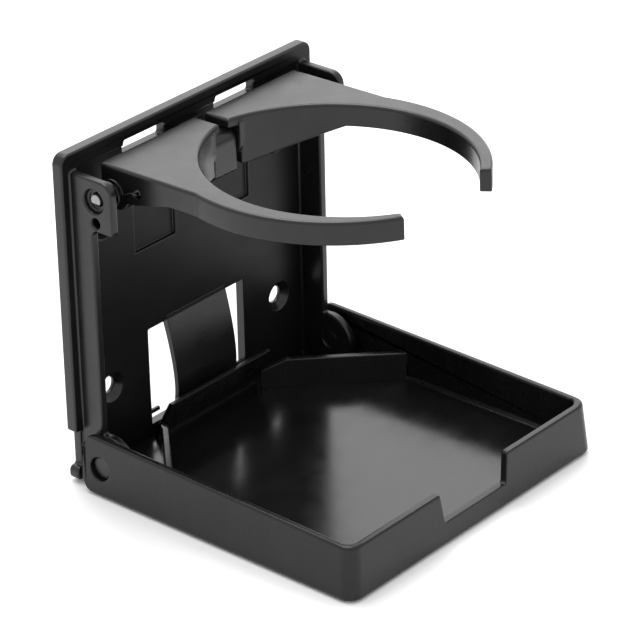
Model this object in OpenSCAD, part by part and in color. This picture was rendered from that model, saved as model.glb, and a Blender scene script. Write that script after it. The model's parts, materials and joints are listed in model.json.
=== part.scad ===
// Folding drink holder that screws to a wall or panel.
// Left is -X, right is +X, the drink side is -Y and up is +Z.
// Side outlines are drawn with heights above the underside of the open tray;
// placed() moves them to the origin, which is the middle of the back face.

/* [Back plate] */
// Width of the flange that lies against the wall
plate_w = 97; // [96.5:0.5:99]
// Height of the flange's top edge above the tray's underside
plate_top = 97; // [96:0.5:100]
// Thickness of the flange
flange_t = 3.6; // [3.2:0.1:4]
// Thickness of the panel between the side cheeks
web_t = 3; // [2.4:0.1:3.1]
// Thickness of the side cheeks
cheek_t = 2.5; // [2:0.1:3]
// How far the cheeks stand out from the wall
cheek_d = 10.8; // [9:0.2:12]

/* [Screw holes] */
// Distance between the left and right screw holes
screw_x = 69; // [60:1:72]
// Distance between the lower and upper screw holes
screw_z = 49; // [44:1:52]
// Radius of the screw holes
screw_r = 2.4; // [2:0.1:2.8]

/* [Tray] */
// Width of the tray at its underside
tray_w = 103.6; // [103.2:0.2:105]
// How far the tray's front stands from the wall
tray_front = 101.6; // [100.6:0.2:103]
// Height of the tray's rim at the back
rim_back = 17.2; // [16.6:0.1:17.4]
// Height of the tray's rim at the front
rim_front = 15.4; // [14:0.1:16]
// Thickness of the tray's floor
floor_t = 2; // [1.6:0.1:2]
// Width of the notch at the bottom
notch_w = 26; // [16:1:30]

/* [Arms] */
// Radius of the inside of each arm's curve
ring_r = 40.8; // [40.4:0.1:41.2]
// Radius of the outside of each arm's curve
outer_r = 46.8; // [46:0.1:47]
// Height of the curved fingers
finger_h = 6.5; // [6:0.1:6.6]
// Upward slope of the raised arms, in degrees
arm_tilt = 1.1; // [0:0.1:1.4]
// How far each arm slides outward
arm_slide = 3.2; // [2:0.1:3.2]

/* [Pivots] */
// Radius of the steel rod that carries the arms
rod_r = 1.7; // [1.5:0.05:1.8]
// Radius of the tray's hinge pins
pin_r = 2.5; // [2:0.1:2.6]
// Radial clearance of everything that turns or slides on a pivot
run_gap = 0.06; // [0.03:0.01:0.1]

/* [Hidden] */
$fn = 64;

eps = 0.1;
origin_h = 47.5;
plastic = "#1d1d1e";
steel = "#9a9a9c";

// Pivot axes, as [y, height]
rod_at = [-11.8, 85.9];
hinge_at = [-12.9, 8.3];
tongue_at = [-1.6, 35.5];

// Back plate
flange_bottom = rim_front;
flange_corner_r = 3;
web_w = 95;
web_bottom = 0.6;
cheek_out = 47;
cheek_in = cheek_out - cheek_t;
ear_front = 18.2;
ear_bottom = 77.2;
ear_top = 92;
ear_corner_r = 3.5;
knuckle_r = 8;
opening_w = 39;
opening_bottom = 5;
opening_top = 34.3;
tab_len = 3.8;
tab_h = 1.2;
tab_z = 7.8;
tab_t = 1.2;
window_x = 10;
window_w = 16.2;
window_z = 89.6;
window_h = 3.7;
recess_x = 7;
recess_w = 16;
recess_z = 59;
recess_h = 25;
recess_d = 1;
screw_low_z = 23;
sink_r = 4.3;
sink_d = 1.9;
rod_recess_r = 3.4;
rod_recess_d = 1.7;
detent_at = [-12.2, 79.7];
detent_r = 1.4;
hanger_w = 8.8;
hanger_r = 4.1;
hanger_bottom = 76.5;
lug_x = 47;
lug_w = 2.8;
lug_h = 4;
lug_z = 0.5;
lug_d = 3.5;

// Tray
draft = 1.5;
wall_t = 2.2;
inner_half = tray_w / 2 - draft - wall_t;
inner_front = draft + wall_t - tray_front;
tray_back = 6.5;
floor_back = 4;
tray_corner_r = 4;
slot_in = 43.9;
slot_out = inner_half;
slot_front = 21.6;
boss_r = 5;
boss_in = 47.3;
head_r = 2.9;
head_recess_r = 3.4;
head_x = 49.3;
head_t = 0.6;
notch_z = 6.6;
notch_lean = 1.3;
notch_corner_r = 1.2;
back_wall_w = 41;
back_wall_t = 1.6;
back_wall_low_y = -4.4;
back_wall_top_y = -10.3;
back_wall_foot_h = 4.3;
back_wall_h = 14.5;
rib_t = 2;
rib_start = [19.9, -7.9];
rib_len = 41.8;
rib_h = 10.3;
rib_end = [[8, 10.3], [6, 9.4], [3.8, 8.4], [1.4, 7.4], [0, 7]];

// Arms
arm_top = rod_at[1] + 7;
arm_gap = 3.4;
spring_solid = 2.5;
arm_side = cheek_in - arm_slide - spring_solid;
arm_back = 7.2;
ring_at = [-6.8, -55.6];
outer_at = [-6.4, -52];
tip_angle = 34;
top_t = 2.6;
side_t = 2.2;
skirt_t = 2.2;
skirt_in = 5.6;
skirt_h = 14;
skirt_deep_y = -17.5;
skirt_end_y = -34.3;
side_deep_h = 9.4;
side_deep_y = -19;
side_end_y = -31;
solid_from_y = -44;
lug_r = 5.3;
inner_lug = [4.7, 11];
outer_lug = [32, arm_side];
hook_at = [-19.6, 87.1];
hook_r = 1.3;
rod_flat = 1.1;
rod_end = 46.2;

// Springs
wire_r = 0.4;
coil_r = 3.5;
coil_turns = 2.75;
coil_from = arm_side + 0.6;
coil_to = cheek_in - 0.6;
wire_sides = 8;
turn_steps = 16;
hook_len = 1.4;

// Tongue
tongue_w = 24;
tongue_barrel_r = 1.3;
tongue_path = [[-2.1, 34.6], [-4, 27.5], [-7, 16], [-5, 8.5]];
tongue_t = [2.4, 1.8];
tongue_steps = 14;

// Helpers
module placed() translate([0, 0, -origin_h]) children();
// An outline of [y, height] points, given a length along X that starts at x
module side_slab(x, w) translate([x, 0, 0]) rotate([90, 0, 90]) linear_extrude(w) children();
// An outline of [x, height] points, given a depth towards the drink that starts y from the wall
module front_slab(y, d) translate([0, -y, 0]) rotate([90, 0, 0]) linear_extrude(d) children();
// A round bar along X from x0 to x1 on an axis at [y, height]
module bar(at, r, x0, x1) translate([x0, at[0], at[1]]) rotate([0, 90, 0]) cylinder(r = r, h = x1 - x0);
module both_sides() {
    children();
    mirror([1, 0, 0]) children();
}

// Back plate
module flange_outline() {
    top = plate_top - flange_corner_r;
    half = plate_w / 2;
    translate([-half, flange_bottom]) square([plate_w, top - flange_bottom]);
    translate([flange_corner_r - half, top]) square([plate_w - 2 * flange_corner_r, flange_corner_r]);
    for (s = [-1, 1]) translate([s * (half - flange_corner_r), top]) circle(flange_corner_r);
}
module cheek_outline() {
    translate([-cheek_d, hinge_at[1]]) square([cheek_d, ear_top - hinge_at[1] - 1]);
    translate([hinge_at[0], web_bottom]) square([-hinge_at[0], hinge_at[1] + knuckle_r - web_bottom]);
    translate(hinge_at) circle(knuckle_r);
    corner = [ear_corner_r - ear_front, ear_top - ear_corner_r];
    translate([-ear_front, ear_bottom]) square([ear_front, corner[1] - ear_bottom]);
    translate([corner[0], ear_bottom]) square([-corner[0], ear_top - ear_bottom]);
    translate(corner) circle(ear_corner_r);
}
module hanger_outline() {
    front = rod_at[0] - hanger_r;
    translate(rod_at) circle(hanger_r);
    translate([rod_at[0], rod_at[1]]) square([-rod_at[0] - eps, hanger_r]);
    polygon([[front, rod_at[1]], [-eps, rod_at[1]], [-eps, hanger_bottom - 6],
             [-web_t, hanger_bottom - 6], [front + 1.5, hanger_bottom], [front, hanger_bottom + 1.5]]);
}
module screw_hole(x, z) translate([x, 0, z]) rotate([90, 0, 0]) {
    translate([0, 0, -eps]) cylinder(r = screw_r, h = web_t + 2 * eps);
    translate([0, 0, web_t - sink_d]) cylinder(r1 = screw_r, r2 = sink_r, h = sink_d);
    translate([0, 0, web_t - 0.001]) cylinder(r = sink_r, h = 1);
}
module plate_cuts() {
    front_slab(-eps, web_t + 1) {
        translate([-opening_w / 2, opening_bottom]) square([opening_w, opening_top - opening_bottom]);
        for (s = [-1, 1]) translate([s * (window_x + window_w / 2) - window_w / 2, window_z])
            square([window_w, window_h]);
    }
    front_slab(web_t - recess_d, 1.5) for (s = [-1, 1])
        translate([s * (recess_x + recess_w / 2) - recess_w / 2, recess_z]) square([recess_w, recess_h]);
    for (s = [-1, 1], z = [screw_low_z, screw_low_z + screw_z]) screw_hole(s * screw_x / 2, z);
    bar(tongue_at, tongue_barrel_r + run_gap, -tongue_w / 2 - 0.2, tongue_w / 2 + 0.2);
    translate([-tongue_w / 2 - 0.2, -web_t - eps, opening_top - eps])
        cube([tongue_w + 0.4, web_t + 2 * eps, tongue_at[1] - opening_top + eps]);
}
module back_plate() color(plastic) placed() {
    difference() {
        union() {
            difference() {
                front_slab(0, flange_t) flange_outline();
                front_slab(web_t, 1) translate([-cheek_in, 0]) square([2 * cheek_in, ear_top]);
            }
            front_slab(0, web_t) translate([-web_w / 2, web_bottom]) square([web_w, flange_bottom]);
            both_sides() side_slab(cheek_in, cheek_t) cheek_outline();
            side_slab(-hanger_w / 2, hanger_w) hanger_outline();
            both_sides() translate([lug_x, -lug_d, lug_z]) cube([lug_w, lug_d, lug_h]);
        }
        plate_cuts();
        bar(rod_at, rod_r + run_gap, -cheek_out - 1, cheek_out + 1);
        both_sides() bar(rod_at, rod_recess_r, cheek_out - rod_recess_d, cheek_out + 1);
        both_sides() bar(detent_at, detent_r, cheek_in - 1, cheek_out + 1);
        both_sides() bar(hinge_at, pin_r + run_gap, cheek_in - 1, cheek_out + 1);
    }
    both_sides() translate([opening_w / 2 - tab_len, -web_t, tab_z]) cube([tab_len + eps, tab_t, tab_h]);
}

// The rod has a flat on its underside, so both arms turn with it
module pivot_rod() color(steel) placed() difference() {
    bar(rod_at, rod_r, -rod_end, rod_end);
    translate([-rod_end - 1, rod_at[0] - 5, rod_at[1] - rod_flat - 5]) cube([2 * rod_end + 2, 10, 5]);
}

// Arms
module arm_plan() difference() {
    intersection() {
        union() {
            translate(outer_at) circle(outer_r, $fn = 128);
            translate([arm_gap / 2, outer_at[1]]) square([arm_side - arm_gap / 2, -outer_at[1] - arm_back]);
        }
        translate([arm_gap / 2, -2 * ring_r - 40]) square([60, 2 * ring_r + 40 - arm_back]);
    }
    translate(ring_at) circle(ring_r, $fn = 128);
    polygon([ring_at, ring_at + 2 * outer_r * [sin(tip_angle), -cos(tip_angle)], ring_at - [0, 2 * outer_r]]);
}
module skirt_side() polygon([[skirt_deep_y, arm_top - skirt_h], [-arm_back, arm_top - skirt_h],
    [-arm_back, arm_top], [solid_from_y - 2, arm_top], [solid_from_y - 2, arm_top - finger_h],
    [skirt_end_y, arm_top - finger_h]]);
module side_side() polygon([[side_deep_y, arm_top - side_deep_h], [-arm_back, arm_top - side_deep_h],
    [-arm_back, arm_top], [solid_from_y - 2, arm_top], [solid_from_y - 2, arm_top - finger_h],
    [side_end_y, arm_top - finger_h]]);
module arm_lug(span) {
    bar(rod_at, lug_r, span[0], span[1]);
    translate([span[0], rod_at[0] - lug_r, rod_at[1]])
        cube([span[1] - span[0], lug_r - arm_back - rod_at[0], arm_top - rod_at[1] - top_t + eps]);
}
module arm() translate([0, rod_at[0], rod_at[1]]) rotate([-arm_tilt, 0, 0])
    translate([0, -rod_at[0], -rod_at[1]]) difference() {
        union() {
            translate([0, 0, arm_top - top_t]) linear_extrude(top_t) arm_plan();
            translate([0, 0, arm_top - finger_h]) linear_extrude(finger_h) intersection() {
                arm_plan();
                translate([0, -150]) square([60, 150 + solid_from_y]);
            }
            intersection() {
                translate([0, 0, arm_top - skirt_h]) linear_extrude(skirt_h) intersection() {
                    difference() {
                        translate(ring_at) circle(ring_r + skirt_t, $fn = 128);
                        translate(ring_at) circle(ring_r, $fn = 128);
                    }
                    translate([skirt_in, solid_from_y - 1]) square([arm_side, 60]);
                }
                side_slab(0, 60) skirt_side();
            }
            intersection() {
                translate([0, 0, arm_top - side_deep_h]) linear_extrude(side_deep_h) intersection() {
                    arm_plan();
                    translate([arm_side - side_t, -150]) square([60, 150]);
                }
                side_slab(0, 60) side_side();
            }
            arm_lug(inner_lug);
            arm_lug(outer_lug);
        }
        difference() {
            bar(rod_at, rod_r + run_gap, 0, 60);
            translate([-1, rod_at[0] - 5, rod_at[1] - rod_flat - run_gap - 5]) cube([62, 10, 5]);
        }
        bar(hook_at, hook_r, arm_side - side_t - 1, arm_side + 1);
    }
module right_arm() color(plastic) placed() arm();
module left_arm() color(plastic) placed() mirror([1, 0, 0]) arm();

// Springs: a coil round the rod, then a straight leg to the hole in the arm's side
function coil_points() = [for (i = [0 : coil_turns * turn_steps])
    let (a = 360 * i / turn_steps, f = i / (coil_turns * turn_steps))
    [coil_to - (coil_to - coil_from) * f, rod_at[0] + coil_r * sin(a), rod_at[1] - coil_r * cos(a)]];
function leg_points() = let (y = hook_at[0], z = hook_at[1])
    [[coil_from - 0.05, y + 1, z + 0.15], [coil_from - 0.4, y, z], [coil_from - hook_len, y, z]];
function cross_ring(p, dir, up) =
    let (u = cross(dir, up) / norm(cross(dir, up)), v = cross(u, dir) / norm(cross(u, dir)))
    [for (k = [0 : wire_sides - 1]) let (a = 360 * k / wire_sides) p + wire_r * (cos(a) * u + sin(a) * v)];
function along(pts, i) = let (a = pts[max(i - 1, 0)], b = pts[min(i + 1, len(pts) - 1)])
    (b - a) / norm(b - a);
module wire(pts) {
    n = len(pts);
    rings = [for (i = [0 : n - 1]) each cross_ring(pts[i], along(pts, i), [0.31, 0.2, 0.93])];
    sides = [for (i = [0 : n - 2], k = [0 : wire_sides - 1])
        let (a = i * wire_sides, b = a + wire_sides, m = (k + 1) % wire_sides)
        each [[a + k, a + m, b + m], [a + k, b + m, b + k]]];
    start = [[for (k = [wire_sides - 1 : -1 : 0]) k]];
    end = [[for (k = [0 : wire_sides - 1]) (n - 1) * wire_sides + k]];
    polyhedron(rings, concat(sides, start, end), convexity = 6);
}
module arm_spring() wire(concat(coil_points(), leg_points()));
module right_arm_spring() color(steel) placed() arm_spring();
module left_arm_spring() color(steel) placed() mirror([1, 0, 0]) arm_spring();

// Tray
module rim_outline() {
    half = tray_w / 2;
    polygon([[-half, 0], [half, 0], [half - draft, rim_back], [draft - half, rim_back]]);
}
module wall_outline() polygon([[inner_half, 0], [tray_w / 2, 0],
    [tray_w / 2 - draft, rim_back], [inner_half, rim_back]]);
module wall_side() {
    low_r = 5;
    top_r = 4;
    translate([-tray_back - low_r, low_r]) circle(low_r);
    translate([-tray_back - top_r, rim_back - top_r]) circle(top_r);
    translate([-tray_back - low_r, low_r]) square([low_r, rim_back - top_r - low_r]);
    polygon([[-tray_back - low_r, 0], [-tray_back - top_r, rim_back],
             [draft - tray_front, rim_front], [-tray_front, 0]]);
}
module tray_footprint() {
    half = tray_w / 2;
    r = tray_corner_r;
    translate([-half, r - tray_front]) square([tray_w, tray_front - r]);
    translate([r - half, -tray_front]) square([tray_w - 2 * r, r + eps]);
    for (s = [-1, 1]) translate([s * (half - r), r - tray_front]) circle(r);
}
// The notch's sides lean outward and end in small rounded corners at the rim
module notch_outline() {
    low = notch_w / 2;
    rim = low + notch_lean;
    r = notch_corner_r;
    polygon([[-low, notch_z], [low, notch_z], [rim, rim_front], [rim, rim_back],
             [-rim, rim_back], [-rim, rim_front]]);
    both_sides() difference() {
        translate([rim - eps, rim_front - r]) square([r + eps, rim_back]);
        translate([rim + r, rim_front - r]) circle(r);
        translate([rim + r, 0]) square([r, 2 * rim_back]);
    }
}
module rib() translate([rib_start[0], rib_start[1], 0]) rotate([0, 0, -45]) translate([0, rib_t / 2, 0])
    rotate([90, 0, 0]) linear_extrude(rib_t)
        polygon(concat([[0, floor_t - eps], [rib_len, floor_t - eps], [rib_len, rib_h]], rib_end));
module tray() color(plastic) placed() difference() {
    union() {
        intersection() {
            union() {
                intersection() {
                    both_sides() front_slab(0, tray_front) wall_outline();
                    side_slab(-tray_w, 2 * tray_w) wall_side();
                }
                intersection() {
                    side_slab(-tray_w / 2, tray_w) polygon([[inner_front, 0], [-tray_front, 0],
                        [draft - tray_front, rim_front], [inner_front, rim_front]]);
                    front_slab(0, 2 * tray_front) rim_outline();
                }
                translate([1.5 - tray_w / 2, 0.5 - tray_front, 0])
                    cube([tray_w - 3, tray_front - floor_back - 0.5, floor_t]);
                intersection() {
                    both_sides() rib();
                    translate([1 - tray_w / 2, -tray_front, 0]) cube([tray_w - 2, tray_front, rim_front]);
                }
            }
            translate([0, 0, -1]) linear_extrude(rim_back + 2) tray_footprint();
        }
        side_slab(-back_wall_w / 2, back_wall_w) polygon([
            [back_wall_low_y - back_wall_t, 0], [back_wall_low_y, 0], [back_wall_low_y, back_wall_foot_h],
            [back_wall_top_y, back_wall_h], [back_wall_top_y - back_wall_t, back_wall_h],
            [back_wall_low_y - back_wall_t, back_wall_foot_h]]);
        both_sides() bar(hinge_at, boss_r, boss_in, inner_half + 1);
    }
    front_slab(tray_front - 6, 8) notch_outline();
    both_sides() translate([slot_in, -slot_front, -1]) cube([slot_out - slot_in, slot_front, floor_t + 1.2]);
    both_sides() bar(hinge_at, pin_r, boss_in - 1, tray_w);
    both_sides() bar(hinge_at, head_recess_r, head_x, tray_w);
}
module tray_pin() {
    bar(hinge_at, pin_r, cheek_in + 0.2, head_x);
    bar(hinge_at, head_r, head_x, head_x + head_t);
}
module right_tray_pin() color(plastic) placed() tray_pin();
module left_tray_pin() color(plastic) placed() mirror([1, 0, 0]) tray_pin();

// Tongue: a curved leaf that hangs from a barrel in the back plate
function curve(p, t) = p[0] * pow(1 - t, 3) + p[1] * 3 * t * pow(1 - t, 2)
    + p[2] * 3 * t * t * (1 - t) + p[3] * pow(t, 3);
function leaf_edge(t, side) = let (d = curve(tongue_path, t + 0.01) - curve(tongue_path, t - 0.01),
    half = (tongue_t[0] * (1 - t) + tongue_t[1] * t) / 2)
    curve(tongue_path, t) + side * half * [d[1], -d[0]] / norm(d);
module pressure_tongue() color(plastic) placed() {
    side_slab(-tongue_w / 2, tongue_w) union() {
        translate(tongue_at) circle(tongue_barrel_r);
        polygon(concat([for (i = [0 : tongue_steps]) leaf_edge(i / tongue_steps, 1)],
                       [for (i = [tongue_steps : -1 : 0]) leaf_edge(i / tongue_steps, -1)]));
    }
}

back_plate();
pivot_rod();
left_arm();
right_arm();
left_arm_spring();
right_arm_spring();
tray();
left_tray_pin();
right_tray_pin();
pressure_tongue();
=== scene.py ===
import json
import math

import bmesh
import bpy
from mathutils import Matrix, Vector


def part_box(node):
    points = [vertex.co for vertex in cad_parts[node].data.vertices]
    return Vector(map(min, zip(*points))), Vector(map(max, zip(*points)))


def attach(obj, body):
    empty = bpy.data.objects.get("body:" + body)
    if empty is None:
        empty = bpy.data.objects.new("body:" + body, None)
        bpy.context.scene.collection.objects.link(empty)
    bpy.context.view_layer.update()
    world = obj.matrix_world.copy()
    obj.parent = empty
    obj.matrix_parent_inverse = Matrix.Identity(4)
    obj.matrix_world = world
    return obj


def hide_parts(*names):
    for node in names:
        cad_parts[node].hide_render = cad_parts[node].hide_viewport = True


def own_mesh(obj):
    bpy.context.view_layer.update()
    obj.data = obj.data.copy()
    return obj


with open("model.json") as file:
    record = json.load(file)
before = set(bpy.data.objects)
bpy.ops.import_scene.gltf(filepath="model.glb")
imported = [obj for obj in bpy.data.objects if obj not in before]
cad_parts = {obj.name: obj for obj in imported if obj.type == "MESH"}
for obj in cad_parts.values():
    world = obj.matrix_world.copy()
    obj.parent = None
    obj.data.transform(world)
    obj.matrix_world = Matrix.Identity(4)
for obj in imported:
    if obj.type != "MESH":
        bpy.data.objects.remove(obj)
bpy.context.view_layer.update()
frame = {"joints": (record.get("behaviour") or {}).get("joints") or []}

# Everything below is in millimetres in the row frame; meshes are scaled to metres as they are made.
# X is right, -Y is the drink side, +Z is up, and y = 0 is the wall.
MM = 0.001


def node_box(name):
    low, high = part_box(name)
    return [v / MM for v in low], [v / MM for v in high]


def joint_at(name):
    joint = next(j for j in frame["joints"] if j["name"] == name)
    return joint["pos_m"][1] / MM, joint["pos_m"][2] / MM


plate_high = node_box("back_plate")[1]
tray_low, tray_high = node_box("tray")
rod_at = joint_at("arms_fold")
hinge_at = joint_at("tray_fold")
tongue_at = joint_at("tongue_swing")
base_z = tray_low[2]

# Radii that more than one piece shares
rod_r, rod_bore_r = 1.7, 1.76
pin_r, pin_bore_r, pin_head_r = 2.5, 2.56, 2.9
head_recess_r = 3.4


# ---------- outlines ----------

def arc(centre, radius, start, end, steps):
    """Points on a circle from start to end, in degrees."""
    turn = [math.radians(start + (end - start) * i / steps) for i in range(steps + 1)]
    return [(centre[0] + radius * math.cos(a), centre[1] + radius * math.sin(a)) for a in turn]


def rounded(corners, steps=8):
    """A closed outline of (x, y, radius) corners, each turned into an arc where its radius isn't 0."""
    out = []
    for i, (x, y, r) in enumerate(corners):
        here = Vector((x, y))
        before = (Vector(corners[i - 1][:2]) - here).normalized()
        after = (Vector(corners[(i + 1) % len(corners)][:2]) - here).normalized()
        if r <= 0:
            out.append((x, y))
            continue
        half = before.angle(after) / 2
        middle = here + (before + after).normalized() * (r / math.sin(half))
        a = here + before * (r / math.tan(half)) - middle
        b = here + after * (r / math.tan(half)) - middle
        for k in range(steps + 1):
            out.append(tuple(middle + a.slerp(b, k / steps).normalized() * r))
    return out


# ---------- solids ----------

AXES = {
    "x": lambda u, v, w: (w, u, v),      # outline in (y, z), length along X
    "y": lambda u, v, w: (u, w, v),      # outline in (x, z), length along Y
    "z": lambda u, v, w: (u, v, w),      # outline in (x, y), length along Z
}


def to_object(name, bm):
    bmesh.ops.recalc_face_normals(bm, faces=bm.faces)
    mesh = bpy.data.meshes.new(name)
    bm.to_mesh(mesh)
    bm.free()
    obj = bpy.data.objects.new(name, mesh)
    bpy.context.scene.collection.objects.link(obj)
    return obj


def prism(outline, axis, low, high, name="prism"):
    """A closed outline swept along an axis from low to high."""
    place = AXES[axis]
    bm = bmesh.new()
    a = [bm.verts.new([MM * c for c in place(u, v, low)]) for u, v in outline]
    b = [bm.verts.new([MM * c for c in place(u, v, high)]) for u, v in outline]
    bm.faces.new(a)
    bm.faces.new(b[::-1])
    for i in range(len(a)):
        j = (i + 1) % len(a)
        bm.faces.new([a[i], b[i], b[j], a[j]])
    return to_object(name, bm)


def rod(axis, centre, radius, low, high, steps=48):
    return prism(arc(centre, radius, 0, 360 - 360 / steps, steps - 1), axis, low, high)


def block(low, high):
    corners = [(low[0], low[1]), (high[0], low[1]), (high[0], high[1]), (low[0], high[1])]
    return prism(corners, "z", low[2], high[2])


def cone(axis, centre, r_low, r_high, low, high, steps=48):
    place = AXES[axis]
    bm = bmesh.new()
    rings = []
    for r, w in ((r_low, low), (r_high, high)):
        circle = arc(centre, r, 0, 360 - 360 / steps, steps - 1)
        rings.append([bm.verts.new([MM * c for c in place(u, v, w)]) for u, v in circle])
    bm.faces.new(rings[0])
    bm.faces.new(rings[1][::-1])
    for i in range(steps):
        j = (i + 1) % steps
        bm.faces.new([rings[0][i], rings[1][i], rings[1][j], rings[0][j]])
    return to_object("cone", bm)


def bake(obj):
    """Applies an object's modifiers to its own mesh."""
    depsgraph = bpy.context.evaluated_depsgraph_get()
    mesh = bpy.data.meshes.new_from_object(obj.evaluated_get(depsgraph))
    obj.modifiers.clear()
    obj.data = mesh
    return obj


def combine(obj, others, how):
    """Adds (UNION), cuts (DIFFERENCE) or keeps what is shared (INTERSECT) with each other solid in turn."""
    for other in others:
        step = obj.modifiers.new(how, "BOOLEAN")
        step.operation = how
        step.solver = "EXACT"
        step.object = other
        bake(obj)
        bpy.data.objects.remove(other)
    return obj


def mirror(obj):
    obj.data.transform(Matrix.Scale(-1, 4, (1, 0, 0)))
    obj.data.flip_normals()
    return obj


def both(make):
    """The same solid on the right and, mirrored, on the left."""
    return [make(), mirror(make())]


def clean(obj):
    """Joins flat stretches into single faces and removes stray slivers left by the solid work."""
    bm = bmesh.new()
    bm.from_mesh(obj.data)
    bmesh.ops.remove_doubles(bm, verts=bm.verts, dist=0.004 * MM)
    bmesh.ops.dissolve_limit(bm, angle_limit=math.radians(0.6), verts=bm.verts, edges=bm.edges)
    bmesh.ops.dissolve_degenerate(bm, edges=bm.edges, dist=0.01 * MM)
    bmesh.ops.recalc_face_normals(bm, faces=bm.faces)
    bm.to_mesh(obj.data)
    bm.free()


def soften(obj, width, rule=None, segments=3):
    """Rounds the hard edges to the width; rule(middle in mm) may scale it edge by edge."""
    clean(obj)
    obj.data.attributes.new("bevel_weight_edge", "FLOAT", "EDGE")
    bm = bmesh.new()
    bm.from_mesh(obj.data)
    layer = bm.edges.layers.float["bevel_weight_edge"]
    for edge in bm.edges:
        if len(edge.link_faces) == 2 and edge.calc_face_angle(0) > math.radians(28):
            middle = (edge.verts[0].co + edge.verts[1].co) / (2 * MM)
            edge[layer] = rule(middle) if rule else 1.0
    bm.to_mesh(obj.data)
    bm.free()
    step = obj.modifiers.new("round", "BEVEL")
    step.limit_method = "WEIGHT"
    step.offset_type = "OFFSET"
    step.width = width * MM
    step.segments = segments
    step.use_clamp_overlap = False
    step.miter_outer = "MITER_ARC"
    bake(obj)
    shade(obj)


def shade(obj, sharp_angle=38):
    bm = bmesh.new()
    bm.from_mesh(obj.data)
    loose = [edge for edge in bm.edges if not edge.link_faces]
    bmesh.ops.delete(bm, geom=loose, context="EDGES")
    for face in bm.faces:
        face.smooth = True
    for edge in bm.edges:
        edge.smooth = len(edge.link_faces) == 2 and edge.calc_face_angle(0) < math.radians(sharp_angle)
    bm.to_mesh(obj.data)
    bm.free()
    step = obj.modifiers.new("even shading", "WEIGHTED_NORMAL")
    step.keep_sharp = True
    step.weight = 60


def finish_piece(obj, name, node, body, material):
    obj.name = name
    obj.data.name = name
    obj.data.materials.clear()
    obj.data.materials.append(material)
    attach(obj, body)
    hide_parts(node)


# ---------- materials ----------

def make_material(name):
    material = bpy.data.materials.new(name)
    material.use_nodes = True
    tree = material.node_tree
    shader = tree.nodes["Principled BSDF"]
    return material, tree, shader


def add_node(tree, kind, inputs=None, **settings):
    node = tree.nodes.new(kind)
    for key, value in settings.items():
        setattr(node, key, value)
    for key, value in (inputs or {}).items():
        if hasattr(value, "is_output"):
            tree.links.new(value, node.inputs[key])
        else:
            node.inputs[key].default_value = value
    return node


def noise(tree, where, scale, detail=2.0, roughness=0.5):
    inputs = {"Vector": where, "Scale": scale, "Detail": detail, "Roughness": roughness}
    return add_node(tree, "ShaderNodeTexNoise", inputs).outputs["Fac"]


def stretched(tree, where, scale):
    return add_node(tree, "ShaderNodeMapping", {"Vector": where, "Scale": scale}).outputs["Vector"]


def grey(value):
    return (value, value, value, 1)


def remap(tree, value, low, high, new_low, new_high):
    return add_node(tree, "ShaderNodeMapRange", {"Value": value, "From Min": low, "From Max": high,
                                                 "To Min": new_low, "To Max": new_high}).outputs["Result"]


def mix_colour(tree, factor, a, b):
    node = add_node(tree, "ShaderNodeMix", data_type="RGBA")
    for socket, value in ((0, factor), (6, a), (7, b)):
        if hasattr(value, "is_output"):
            tree.links.new(value, node.inputs[socket])
        else:
            node.inputs[socket].default_value = value
    return node.outputs[2]


def black_plastic(name, rough_low, rough_high, grain, grain_depth, gloss=0.5):
    """Black moulded ABS: fine spark-eroded grain, an uneven sheen and faint rub marks."""
    material, tree, shader = make_material(name)
    where = add_node(tree, "ShaderNodeTexCoord").outputs["Object"]
    cloudy = noise(tree, where, 55, 3.0, 0.55)
    rubs = noise(tree, stretched(tree, where, (1, 4, 1)), 40, 2.0, 0.5)
    patches = remap(tree, cloudy, 0.3, 0.7, 0.0, 1.0)
    base = mix_colour(tree, patches, (0.0040, 0.0040, 0.0042, 1), (0.0062, 0.0062, 0.0064, 1))
    rubbed = remap(tree, rubs, 0.5, 0.8, 0.0, 0.4)
    tree.links.new(mix_colour(tree, rubbed, base, grey(0.012)), shader.inputs["Base Color"])
    smear = noise(tree, where, 160, 4.0, 0.6)
    tree.links.new(remap(tree, smear, 0.3, 0.7, rough_low, rough_high), shader.inputs["Roughness"])
    fine = noise(tree, where, grain, 2.0, 0.6)
    bump = add_node(tree, "ShaderNodeBump", {"Height": fine, "Strength": grain_depth, "Distance": 0.00012})
    tree.links.new(bump.outputs["Normal"], shader.inputs["Normal"])
    shader.inputs["IOR"].default_value = 1.5
    shader.inputs["Specular IOR Level"].default_value = gloss
    return material


def steel_wire(name, dark, light):
    """Drawn steel with fine streaks round the wire."""
    material, tree, shader = make_material(name)
    where = add_node(tree, "ShaderNodeTexCoord").outputs["Object"]
    streak = noise(tree, stretched(tree, where, (1, 14, 14)), 260, 3.0)
    tree.links.new(mix_colour(tree, streak, grey(dark), grey(light)), shader.inputs["Base Color"])
    tree.links.new(remap(tree, streak, 0.3, 0.7, 0.25, 0.42), shader.inputs["Roughness"])
    bump = add_node(tree, "ShaderNodeBump", {"Height": streak, "Strength": 0.15, "Distance": 0.0001})
    tree.links.new(bump.outputs["Normal"], shader.inputs["Normal"])
    shader.inputs["Metallic"].default_value = 1.0
    return material


moulded = black_plastic("moulded_black", 0.26, 0.34, 2600, 0.12, 0.44)
panel_plastic = black_plastic("moulded_black_panel", 0.34, 0.42, 2600, 0.16, 0.18)
tray_plastic = black_plastic("tray_black", 0.24, 0.31, 2600, 0.08, 0.34)
floor_plastic = black_plastic("tray_floor_gloss", 0.15, 0.21, 1800, 0.02, 0.46)
rod_steel = steel_wire("drawn_steel", 0.22, 0.36)
# The spring steel's colour is near-black, far darker than the rod's.
spring_steel = steel_wire("spring_steel", 0.02, 0.05)


# ---------- back plate ----------

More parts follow.
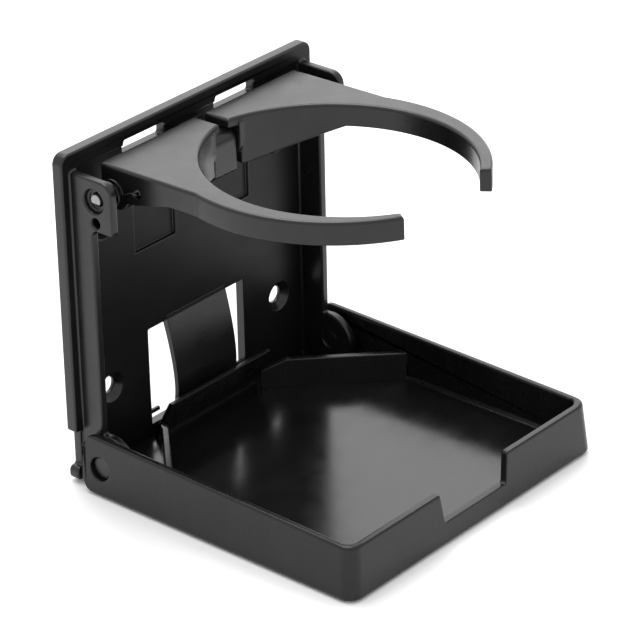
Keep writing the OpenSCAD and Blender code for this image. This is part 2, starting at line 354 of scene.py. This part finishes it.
half_plate = plate_high[0]
plate_top = plate_high[2]
flange_t, web_t = 3.6, 3.0
cheek_in, cheek_out, cheek_front = 44.5, 47.0, -10.8
ear_front, ear_bottom, ear_top = -18.2, base_z + 77.2, base_z + 92
knuckle_r = 8.0
flange_bottom = base_z + 15.4
web_bottom = base_z + 0.6
hanger_half, hanger_r = 4.4, 4.1
opening = (19.5, base_z + 5, base_z + 34.3)
screw_half, screw_low, screw_high, screw_r, sink_r = 34.5, base_z + 23, base_z + 72, 2.4, 4.3
lug_in, lug_out, lug_top, lug_depth, lug_corner_r = 46.5, 49.8, base_z + 4.5, 3.5, 1.5
window_in, window_out, window_low, window_high = 10, 26.2, base_z + 89.6, base_z + 93.3
recess_in, recess_out, recess_low, recess_high = 7, 23, base_z + 59, base_z + 84
tongue_slot_half, barrel_bore_r = 12.2, 1.36
detent_at, detent_r = (-12.2, base_z + 79.7), 1.4
tab_in, tab_low, tab_high = 15.7, base_z + 7.8, base_z + 9


def plate_side():
    """The cheek, its ear and its knuckle, seen from the side as (y, z)."""
    foot = math.degrees(math.asin((web_bottom - hinge_at[1]) / knuckle_r))
    neck = math.degrees(math.acos((cheek_front - hinge_at[0]) / knuckle_r)) - 360
    upper = rounded([(cheek_front, hinge_at[1] + 12, 0), (cheek_front, ear_bottom, 1.6),
                     (ear_front, ear_bottom, 1.2), (ear_front, ear_top, 3.5), (-1, ear_top, 0),
                     (-1, web_bottom, 0)])
    return arc(hinge_at, knuckle_r, foot, neck, 36) + upper[1:]


def hanger_side():
    front = rod_at[0] - hanger_r
    low = base_z + 76.5
    return arc(rod_at, hanger_r, 90, 180, 12) + [
        (front, low + 1.5), (front + 1.5, low), (-3, low - 6), (-1, low - 6), (-1, rod_at[1] + hanger_r)]


def build_back_plate():
    flange = rounded([(-half_plate, flange_bottom, 0.8), (-half_plate, plate_top, 3),
                      (half_plate, plate_top, 3), (half_plate, flange_bottom, 0.8)])
    lug = rounded([(lug_in, web_bottom, 0), (lug_out, web_bottom, lug_corner_r),
                   (lug_out, lug_top, lug_corner_r), (lug_in, lug_top, 0)])
    window = rounded([(window_in, window_low, 0.8), (window_out, window_low, 0.8),
                      (window_out, window_high, 0.8), (window_in, window_high, 0.8)])
    plate = prism(flange, "y", -flange_t, 0)
    pocket = block((-cheek_in, -flange_t - 1, flange_bottom - 5), (cheek_in, -web_t, ear_top))
    combine(plate, [pocket], "DIFFERENCE")
    parts = [block((-47.5, -web_t, web_bottom), (47.5, 0, flange_bottom + 2))]
    parts += both(lambda: prism(plate_side(), "x", cheek_in, cheek_out))
    parts += [prism(hanger_side(), "x", -hanger_half, hanger_half)]
    parts += both(lambda: prism(lug, "y", -lug_depth, 0))
    combine(plate, parts, "UNION")
    cuts = [block((-opening[0], -5, opening[1]), (opening[0], 1, opening[2]))]
    cuts += [block((-tongue_slot_half, -5, opening[2] - 1), (tongue_slot_half, 1, tongue_at[1]))]
    cuts += [rod("x", tongue_at, barrel_bore_r, -tongue_slot_half, tongue_slot_half)]
    cuts += both(lambda: prism(window, "y", -6, 1))
    cuts += both(lambda: block((recess_in, -web_t - 1, recess_low), (recess_out, -web_t + 1, recess_high)))
    for z in (screw_low, screw_high):
        cuts += both(lambda: rod("y", (screw_half, z), screw_r, -5, 1))
        cuts += both(lambda: cone("y", (screw_half, z), sink_r + 0.25, screw_r, -web_t - 0.25, -web_t + 1.9))
    cuts += [rod("x", rod_at, rod_bore_r, -48, 48)]
    cuts += both(lambda: rod("x", rod_at, head_recess_r, 45.3, 48))
    cuts += both(lambda: rod("x", detent_at, detent_r, 44, 48))
    cuts += both(lambda: rod("x", hinge_at, pin_bore_r, 44, 48))
    combine(plate, cuts, "DIFFERENCE")
    combine(plate, both(lambda: block((tab_in, -2.6, tab_low), (opening[0] + 1, -1.5, tab_high))), "UNION")

    def rule(middle):
        return 1.0 if abs(middle.x) > cheek_in - 0.1 or middle.z > plate_top - 4 else 0.5

    soften(plate, 0.6, rule)
    finish_piece(plate, "plate_moulding", "back_plate", "wall_frame", moulded)
    plate.data.materials.append(panel_plastic)
    for face in plate.data.polygons:
        if face.normal.y < -0.98 and face.center.y / MM > -flange_t - 0.1:
            face.material_index = 1


# ---------- arms ----------

arm_tilt = math.radians(-1.1)
arm_top = rod_at[1] + 7
ring_at, ring_r = (-6.8, -55.6), 40.8
outer_at, outer_r = (-6.4, -52), 46.8
arm_side, arm_back, arm_gap = 38.8, -7.2, 1.7
tip_angle = 34
finger_h, skirt_h, side_h, top_t = 6.5, 14.0, 9.4, 2.6
skirt_in, skirt_t, wall_in, solid_from, lug_r = 5.6, 2.2, 2.2, -44, 5.3
inner_lug, outer_lug = (4.7, 11), (32, arm_side)
hook_at, hook_hole_r = (-19.6, base_z + 87.1), 1.3


def arm_outline():
    """The right arm from above, as (x, y)."""
    join = outer_at[1] + math.sqrt(outer_r ** 2 - (arm_side - outer_at[0]) ** 2)
    start = math.degrees(math.atan2(join - outer_at[1], arm_side - outer_at[0]))
    direction = Vector((math.sin(math.radians(tip_angle)), -math.cos(math.radians(tip_angle))))
    gap = Vector(ring_at) - Vector(outer_at)
    along = -gap.dot(direction) + math.sqrt(gap.dot(direction) ** 2 - gap.length_squared + outer_r ** 2)
    tip_outer = Vector(ring_at) + direction * along
    end = math.degrees(math.atan2(tip_outer.y - outer_at[1], tip_outer.x - outer_at[0]))
    inner_end = math.degrees(math.acos((arm_gap - ring_at[0]) / ring_r))
    return [(arm_gap, arm_back), (arm_side, arm_back)] + arc(outer_at, outer_r, start, end, 72) + \
        arc(ring_at, ring_r, tip_angle - 90, inner_end, 90)


def build_arm(side):
    """A full-depth block, hollowed from below so that a skirt, a side wall and the solid finger are left."""
    arm = prism(arm_outline(), "z", arm_top - skirt_h, arm_top)
    low = arm_top - skirt_h - 2
    band = ring_r + skirt_t
    start = math.degrees(math.asin((solid_from - ring_at[1]) / band))
    end = math.degrees(math.acos((skirt_in - ring_at[0]) / band))
    hollow = arc(ring_at, band, start, end, 40) + [
        (skirt_in, -20), (-1, -20), (-1, 0), (arm_side - wall_in, 0), (arm_side - wall_in, solid_from)]
    skirt_edge = [(-200, arm_top - finger_h), (-34.3, arm_top - finger_h), (-17.5, arm_top - skirt_h),
                  (-17.5, low), (-200, low)]
    side_edge = [(-200, arm_top - finger_h), (-31, arm_top - finger_h), (-19, arm_top - side_h),
                 (5, arm_top - side_h), (5, low), (-200, low)]
    combine(arm, [prism(hollow, "z", low, arm_top - top_t),
                  prism(skirt_edge, "x", -1, arm_side - wall_in - 0.2),
                  prism(side_edge, "x", arm_side - wall_in - 0.4, 60)], "DIFFERENCE")
    back = math.degrees(math.acos((arm_back - rod_at[0]) / lug_r))
    root = arm_top - 1.3
    lug = [(rod_at[0] - lug_r, root)] + arc(rod_at, lug_r, 180, 360 + back, 40) + [(arm_back, root)]
    combine(arm, [prism(lug, "x", *inner_lug), prism(lug, "x", *outer_lug)], "UNION")
    hook_hole = rod("x", hook_at, hook_hole_r, arm_side - 3.2, 60)
    combine(arm, [rod("x", rod_at, rod_bore_r, 0, 60), hook_hole], "DIFFERENCE")

    def rule(middle):
        return 1.0 if middle.z > arm_top - 0.1 and middle.y < arm_back - 1 else 0.36

    soften(arm, 1.0, rule, 4)
    about = Matrix.Translation((0, rod_at[0] * MM, rod_at[1] * MM))
    arm.data.transform(about @ Matrix.Rotation(arm_tilt, 4, "X") @ about.inverted())
    if side == "left":
        mirror(arm)
    finish_piece(arm, side + "_arm_moulding", side + "_arm", side + "_holder", moulded)


# ---------- tray ----------

half_tray = tray_high[0]
tray_front = tray_low[1]
rim_back, rim_front = tray_high[2], base_z + 15.4
draft, wall_t, floor_t = 1.5, 2.2, 2.0
inner_half = half_tray - draft - wall_t
side_back, floor_back = -6.5, -4.0
corner_r = 4.0
notch_half, notch_lean, notch_z = 13.0, 1.3, base_z + 6.6
slot_in, slot_front = 43.9, -21.6
boss_r, boss_in, boss_out = 5, 47.3, 49.9
pin_in, pin_head_x, pin_head_t = 44.7, 49.3, 0.6
rib_start, rib_len, rib_t = (19.9, -7.9), 41.8, 2.0


def tray_ring(inset, z, radius):
    """A ring of points round the tray, open at the wall side, which is cut off later."""
    x, y = half_tray - inset, tray_front + inset
    flat = rounded([(-x, 10, 0), (-x, y, radius), (x, y, radius), (x, 10, 0)], 10)
    return [(u, v, z) for u, v in flat]


def loft(rings):
    bm = bmesh.new()
    made = [[bm.verts.new([MM * c for c in p]) for p in ring] for ring in rings]
    for a, b in zip(made, made[1:]):
        for i in range(len(a)):
            j = (i + 1) % len(a)
            bm.faces.new([a[i], a[j], b[j], b[i]])
    bm.faces.new(made[0][::-1])
    bm.faces.new(made[-1])
    return to_object("loft", bm)


def tray_shell():
    """The drafted outside with a rounded foot, less the drafted inside with a fillet at the floor."""
    height = rim_back - base_z + 1
    lean = draft / (rim_back - base_z)
    foot, fillet, n = 1.4, 1.6, 5
    rings = []
    for i in range(n + 1):
        a = math.radians(90 * i / n)
        z = foot * (1 - math.cos(a))
        rings.append(tray_ring(foot * (1 - math.sin(a)) + lean * z, base_z + z, corner_r))
    rings.append(tray_ring(lean * height, base_z + height, corner_r))
    outside = loft(rings)
    rings = []
    for i in range(n + 1):
        a = math.radians(90 * i / n)
        z = floor_t + fillet * (1 - math.cos(a))
        rings.append(tray_ring(wall_t + fillet * (1 - math.sin(a)) + lean * z, base_z + z, corner_r - 1.2))
    rings.append(tray_ring(wall_t + lean * (height + 1), base_z + height + 1, corner_r - 1.2))
    return combine(outside, [loft(rings)], "DIFFERENCE")


def tray_side():
    """What is kept of the shell, seen from the side as (y, z)."""
    return rounded([(side_back, base_z, 5), (side_back, rim_back, 4), (tray_front + draft, rim_front, 0),
                    (tray_front - 1, rim_front, 0), (tray_front - 1, base_z - 1, 0),
                    (-14, base_z - 1, 0), (-14, base_z, 0)][::-1])


def build_tray():
    tray = combine(tray_shell(), [prism(tray_side(), "x", -60, 60)], "INTERSECT")
    low_y, top_y, thick = -4.4, -10.3, 1.6
    foot, lean_from, top = base_z + 0.5, base_z + 3.2, base_z + 14.5
    wall = [(low_y - thick, foot), (low_y, foot), (low_y, lean_from), (top_y, top), (top_y - thick, top),
            (low_y - thick, lean_from)]
    strip = [(47.6, -30), (boss_out, -30), (boss_out, -10), (47.6, -10)]
    parts = [block((-46, -30, base_z), (46, floor_back, base_z + floor_t)),
             prism(wall, "x", -20.5, 20.5)]
    parts += both(lambda: rod("x", hinge_at, boss_r, boss_in, boss_out))
    parts += both(lambda: prism(strip, "z", foot, base_z + floor_t))
    parts += both(make_rib)
    combine(tray, parts, "UNION")
    above = rim_back + 3
    above_half = notch_half + notch_lean * (above - notch_z) / (rim_front - notch_z)
    notch = rounded([(-above_half, above, 0), (-notch_half, notch_z, 0.8), (notch_half, notch_z, 0.8),
                     (above_half, above, 0)])
    cuts = [prism(notch, "y", tray_front - 2, tray_front + 4.5)]
    cuts += both(lambda: block((slot_in, slot_front, base_z - 1), (inner_half, 0, base_z + 3.2)))
    cuts += both(lambda: rod("x", hinge_at, pin_r, 46, 60))
    cuts += both(lambda: rod("x", hinge_at, head_recess_r, pin_head_x, 60))
    combine(tray, cuts, "DIFFERENCE")

    def rule(middle):
        along = min(1, max(0, (side_back - 4 - middle.y) / (side_back - 4 - tray_front)))
        rim = rim_back + (rim_front - rim_back) * along
        outer = abs(middle.x) > half_tray - 5 or middle.y < tray_front + 5
        if outer and middle.z > rim - 1.5:
            return 1.0
        inside = abs(middle.x) < half_tray - wall_t and middle.y > tray_front + wall_t
        return 0.0 if inside and middle.z < base_z + floor_t + 0.2 else 0.42

    soften(tray, 0.9, rule, 4)
    finish_piece(tray, "tray_moulding", "tray", "drink_tray", tray_plastic)
    tray.data.materials.append(floor_plastic)
    for face in tray.data.polygons:
        if face.normal.z > 0.99 and abs(face.center.z / MM - base_z - floor_t) < 0.4:
            face.material_index = 1


def make_rib():
    low, high = base_z + 1, base_z + 10.3
    side = rounded([(0, low, 0), (rib_len, low, 0), (rib_len, high, 0), (7.5, high, 6),
                    (0, base_z + 7, 1)][::-1])
    rib = prism(side, "y", -rib_t / 2, rib_t / 2)
    place = Matrix.Translation((rib_start[0] * MM, rib_start[1] * MM, 0))
    rib.data.transform(place @ Matrix.Rotation(math.radians(-45), 4, "Z"))
    return combine(rib, [block((0, -60, base_z), (49.0, 0, base_z + 12))], "INTERSECT")


# ---------- small pieces ----------

def build_tray_pin(side):
    pin = rod("x", hinge_at, pin_r, pin_in, pin_head_x)
    combine(pin, [rod("x", hinge_at, pin_head_r, pin_head_x - 0.2, pin_head_x + pin_head_t)], "UNION")
    soften(pin, 0.2)
    if side == "left":
        mirror(pin)
    finish_piece(pin, side + "_hinge_pin", side + "_tray_pin", "drink_tray", moulded)


def build_rod():
    half_rod = 46.2
    bar = rod("x", rod_at, rod_r, -half_rod, half_rod)
    flat = block((-50, rod_at[0] - 5, rod_at[1] - 6.1), (50, rod_at[0] + 5, rod_at[1] - 1.1))
    combine(bar, [flat], "DIFFERENCE")
    soften(bar, 0.3)
    finish_piece(bar, "steel_rod", "pivot_rod", "arm_shaft", rod_steel)


def build_spring(side):
    """A coil with a hook in the arm's side."""
    turns, steps, radius, wire_r = 2.75, 40, 3.5, 0.4
    start, end = 43.9, 39.4
    path = []
    for i in range(int(turns * steps) + 1):
        a = 2 * math.pi * i / steps
        path.append(Vector((start + (end - start) * i / (turns * steps),
                            rod_at[0] + radius * math.sin(a), rod_at[1] - radius * math.cos(a))))
    hook = Vector((end, *hook_at))
    leg = ((-0.05, 1.2, 0.15), (-0.15, 0.35, 0.05), (-0.5, 0, 0), (-1.4, 0, 0))
    path += [hook + Vector(offset) for offset in leg]
    curve = bpy.data.curves.new("coil", "CURVE")
    curve.dimensions = "3D"
    curve.bevel_depth = wire_r * MM
    curve.bevel_resolution = 4
    curve.use_fill_caps = True
    spline = curve.splines.new("POLY")
    spline.points.add(len(path) - 1)
    for point, where in zip(spline.points, path):
        point.co = (*(where * MM), 1)
    obj = bpy.data.objects.new("coil", curve)
    bpy.context.scene.collection.objects.link(obj)
    depsgraph = bpy.context.evaluated_depsgraph_get()
    mesh = bpy.data.meshes.new_from_object(obj.evaluated_get(depsgraph))
    bpy.data.objects.remove(obj)
    spring = bpy.data.objects.new("spring", mesh)
    bpy.context.scene.collection.objects.link(spring)
    if side == "left":
        mirror(spring)
    bm = bmesh.new()
    bm.from_mesh(mesh)
    bmesh.ops.remove_doubles(bm, verts=bm.verts, dist=0.005 * MM)
    bmesh.ops.recalc_face_normals(bm, faces=bm.faces)
    bm.to_mesh(mesh)
    bm.free()
    for face in mesh.polygons:
        face.use_smooth = True
    finish_piece(spring, side + "_coil_spring", side + "_arm_spring", "arm_shaft", spring_steel)
    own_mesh(spring)


def build_tongue():
    ends = [Vector(p) for p in ((-2.1, 34.6), (-4, 27.5), (-7, 16), (-5, 8.5))]
    steps = 32

    def at(t):
        return (ends[0] * (1 - t) ** 3 + ends[1] * 3 * t * (1 - t) ** 2
                + ends[2] * 3 * t * t * (1 - t) + ends[3] * t ** 3)

    def edge(t, side):
        d = (at(t + 0.01) - at(t - 0.01)).normalized()
        half = (2.4 * (1 - t) + 1.8 * t) / 2
        p = at(t) + Vector((d.y, -d.x)) * (side * half)
        return p.x, p.y + base_z

    outline = [edge(i / steps, 1) for i in range(steps + 1)]
    outline += [edge(1 - i / steps, -1) for i in range(steps + 1)]
    leaf = combine(prism(outline, "x", -12, 12), [rod("x", tongue_at, 1.3, -12, 12)], "UNION")
    soften(leaf, 0.4)
    finish_piece(leaf, "tongue_leaf_moulding", "pressure_tongue", "tongue_leaf", moulded)


build_back_plate()
build_tray()
build_tongue()
build_rod()
for side in ("left", "right"):
    build_arm(side)
    build_spring(side)
    build_tray_pin(side)


# ---------- floor, light and camera ----------

def plain(name, colour, rough):
    material, tree, shader = make_material(name)
    shader.inputs["Base Color"].default_value = (*colour, 1)
    shader.inputs["Roughness"].default_value = rough
    return material


def build_stage():
    low = base_z * MM - 0.0002
    bpy.ops.mesh.primitive_plane_add(size=6, location=(0, 0, low))
    ground = bpy.context.object
    ground.name = "floor"
    ground.data.materials.append(plain("pale_floor", (0.9, 0.9, 0.9), 0.6))
    world = bpy.data.worlds.new("studio")
    bpy.context.scene.world = world
    world.use_nodes = True
    world.node_tree.nodes["Background"].inputs["Color"].default_value = (1, 1, 1, 1)
    world.node_tree.nodes["Background"].inputs["Strength"].default_value = 1.05


def area_light(name, place, aim, size, power):
    light = bpy.data.lights.new(name, "AREA")
    light.shape = "RECTANGLE"
    light.size, light.size_y = size
    light.energy = power
    obj = bpy.data.objects.new(name, light)
    bpy.context.scene.collection.objects.link(obj)
    obj.location = place
    obj.rotation_mode = "QUATERNION"
    obj.rotation_quaternion = (Vector(aim) - Vector(place)).to_track_quat("-Z", "Y")


def build_camera():
    """The photo's viewing angle: 49 degrees to the left of straight on and 27 degrees up."""
    azimuth, elevation, roll = math.radians(-49.04), math.radians(26.8), math.radians(-1.19)
    distance, reach = 927.6, (0, -45, 7.5)
    back = Vector((math.sin(azimuth) * math.cos(elevation), -math.cos(azimuth) * math.cos(elevation),
                   math.sin(elevation)))
    camera = bpy.data.cameras.new("camera")
    camera.sensor_width = 36
    camera.lens = 195.9
    obj = bpy.data.objects.new("camera", camera)
    bpy.context.scene.collection.objects.link(obj)
    obj.location = (Vector(reach) + back * distance) * MM
    obj.rotation_mode = "QUATERNION"
    look = Vector((-2.37, -50, -1.96)) * MM - obj.location
    obj.rotation_quaternion = look.to_track_quat("-Z", "Y")
    obj.rotation_quaternion @= Matrix.Rotation(roll, 4, "Z").to_quaternion()
    camera.clip_start, camera.clip_end = 0.01, 20
    bpy.context.scene.camera = obj


build_stage()
area_light("back_soft", (1.48, 1.29, 0.99), (0, -0.04, 0), (2.2, 1.4), 14)
area_light("top_soft", (0.1, 0.2, 0.9), (0, -0.04, 0), (0.6, 0.6), 7)
build_camera()
bpy.context.scene.view_settings.view_transform = "Standard"
